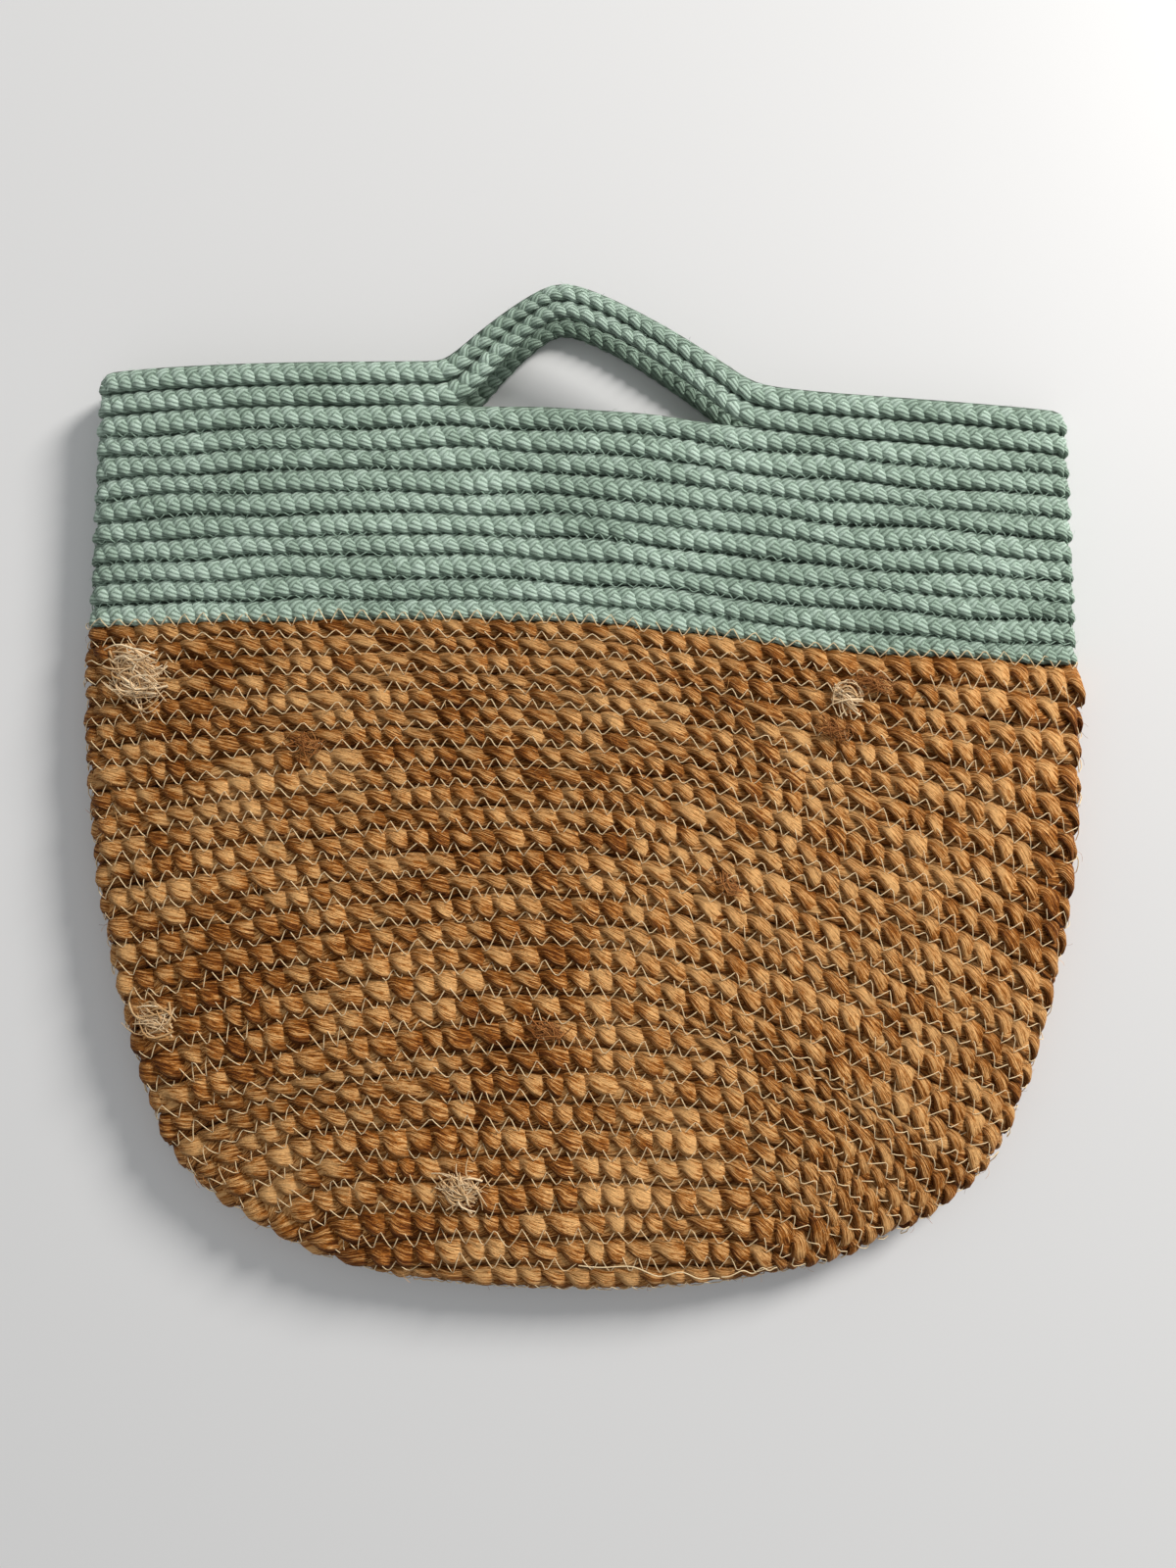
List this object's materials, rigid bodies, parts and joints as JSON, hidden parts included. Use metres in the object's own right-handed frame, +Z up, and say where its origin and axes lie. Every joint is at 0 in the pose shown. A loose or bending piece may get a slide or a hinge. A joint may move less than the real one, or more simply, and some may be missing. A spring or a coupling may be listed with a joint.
{
  "type": "beach bag",
  "caption": "Round-bottomed beach bag of coiled jute braid with a cotton braid band and two hand-hole handles, lying flat on its back",
  "frame": {"origin": "middle of the bag's footprint on the surface it lies on, handles included", "axes": "+X across the bag to the right, +Y from the bottom fold towards the mouth and the handles, +Z up off the surface, through the upper panel"},
  "size_m": [0.44, 0.4375, 0.03],
  "materials": {
    "jute_braid": "natural jute braid, fibrous, matte, golden to dark brown",
    "cotton_braid": "soft cotton braid, matte, mint green",
    "jute_thread": "cream sewing thread in a zigzag stitch",
    "cotton_thread": "green sewing thread in a zigzag stitch"
  },
  "bodies": {
    "back_panel": {"back_jute_rows_01": "jute_braid", "back_jute_rows_02": "jute_braid", "back_jute_rows_03": "jute_braid", "back_jute_rows_04": "jute_braid", "back_jute_rows_05": "jute_braid", "back_jute_rows_06": "jute_braid", "back_jute_rows_07": "jute_braid", "back_jute_rows_08": "jute_braid", "back_jute_rows_09": "jute_braid", "back_jute_rows_10": "jute_braid", "back_cotton_rows_01": "cotton_braid", "back_cotton_rows_02": "cotton_braid", "back_cotton_rows_03": "cotton_braid", "back_cotton_rows_04": "cotton_braid", "back_cotton_rows_05": "cotton_braid", "back_jute_stitching": "jute_thread", "back_cotton_stitching": "cotton_thread", "back_rim_left": "cotton_braid", "back_rim_right": "cotton_braid"},
    "front_panel": {"front_jute_rows_01": "jute_braid", "front_jute_rows_02": "jute_braid", "front_jute_rows_03": "jute_braid", "front_jute_rows_04": "jute_braid", "front_jute_rows_05": "jute_braid", "front_jute_rows_06": "jute_braid", "front_jute_rows_07": "jute_braid", "front_jute_rows_08": "jute_braid", "front_jute_rows_09": "jute_braid", "front_jute_rows_10": "jute_braid", "front_cotton_rows_01": "cotton_braid", "front_cotton_rows_02": "cotton_braid", "front_cotton_rows_03": "cotton_braid", "front_cotton_rows_04": "cotton_braid", "front_cotton_rows_05": "cotton_braid", "front_jute_stitching": "jute_thread", "front_cotton_stitching": "cotton_thread", "front_rim_left": "cotton_braid", "front_rim_right": "cotton_braid"},
    "front_handle": {"front_handle_outer_braid": "cotton_braid", "front_handle_inner_braid": "cotton_braid"},
    "back_handle": {"back_handle_outer_braid": "cotton_braid", "back_handle_inner_braid": "cotton_braid"}
  },
  "joints": [
    {"name": "mouth_open", "type": "hinge", "parent": "back_panel", "child": "front_panel", "pos_m": [0, -0.21875, 0.009], "axis": [1, 0, 0], "range_deg": [0, 8]},
    {"name": "front_handle_lift", "type": "hinge", "parent": "front_panel", "child": "front_handle", "pos_m": [0, 0.18275, 0.03], "axis": [1, 0, 0], "range_deg": [0, 60]},
    {"name": "back_handle_lift", "type": "hinge", "parent": "back_panel", "child": "back_handle", "pos_m": [0, 0.18275, 0.0075], "axis": [1, 0, 0], "range_deg": [0, 60]}
  ],
  "couplings": [
    {"joint": "back_handle_lift", "follows": "front_handle_lift", "ratio": 1}
  ]
}
